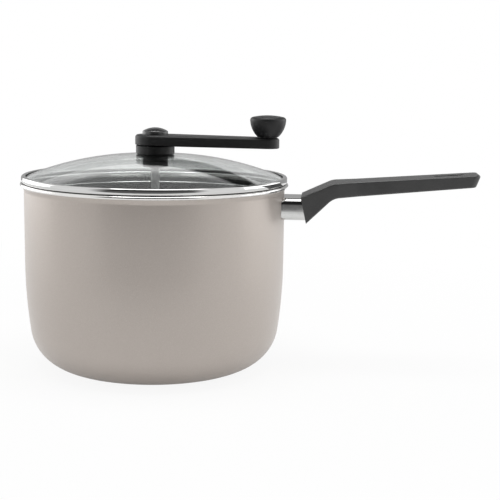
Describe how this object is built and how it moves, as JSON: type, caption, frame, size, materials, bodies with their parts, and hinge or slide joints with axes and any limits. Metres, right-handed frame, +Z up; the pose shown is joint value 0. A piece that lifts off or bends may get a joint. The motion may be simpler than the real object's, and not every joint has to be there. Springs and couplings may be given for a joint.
{
  "type": "stovetop popcorn popper",
  "caption": "Round-bottomed pot with one long handle and a domed glass lid that lifts off, with a hand crank in the lid that turns a wire stirrer over the floor.",
  "frame": {"origin": "centre of the flat base the pot stands on", "axes": "+Z up along the pot's and the crank shaft's axis, +X from that axis along the handle"},
  "size_m": [0.4251, 0.2498, 0.2384],
  "materials": {
    "pot_coating": "satin taupe enamel over aluminium, darker non-stick inside",
    "base_steel": "turned steel disc",
    "polished_steel": "polished stainless steel",
    "lid_glass": "clear tempered glass",
    "seal_rubber": "black silicone rubber",
    "handle_plastic": "satin dark grey phenolic",
    "crank_plastic": "semi-gloss black phenolic",
    "cap_plastic": "gloss black",
    "bush_plastic": "natural acetal",
    "steel_parts": "plain stainless steel",
    "brass_insert": "turned brass"
  },
  "bodies": {
    "pot": {"pot_body": "pot_coating", "base_disc": "base_steel", "ferrule": "polished_steel", "handle_bracket": "steel_parts", "handle": "handle_plastic", "handle_lock_washer": "steel_parts", "handle_screw": "steel_parts"},
    "lid": {"lid_glass": "lid_glass", "lid_ring": "polished_steel", "glass_seal": "seal_rubber", "hub_housing": "crank_plastic", "hub_gasket_upper": "seal_rubber", "hub_gasket_lower": "seal_rubber", "hub_nut": "crank_plastic", "hub_bush": "bush_plastic"},
    "crank": {"crank_arm": "crank_plastic", "crank_socket": "brass_insert", "thrust_washer": "bush_plastic", "crank_washer": "steel_parts", "crank_screw": "steel_parts", "crank_cap": "cap_plastic", "stirrer_shaft": "steel_parts", "clip_washer": "steel_parts", "shaft_clip": "steel_parts", "stirrer_hub": "steel_parts", "stirrer_wire_long": "steel_parts", "stirrer_wire_short": "steel_parts", "stirrer_set_screw": "steel_parts", "knob_bush": "brass_insert", "knob_washer": "crank_plastic"},
    "knob": {"knob": "crank_plastic", "knob_insert": "brass_insert", "knob_screw": "steel_parts"}
  },
  "joints": [
    {"name": "lid_lift", "type": "slide", "parent": "pot", "child": "lid", "axis": [0, 0, 1], "range_m": [0, 0.2]},
    {"name": "crank_turn", "type": "hinge", "parent": "lid", "child": "crank", "pos_m": [0, 0, 0.2], "axis": [0, 0, 1], "continuous": true},
    {"name": "knob_spin", "type": "hinge", "parent": "crank", "child": "knob", "pos_m": [0.10636, -0.01875, 0.2188], "axis": [0, 0, 1], "continuous": true}
  ]
}
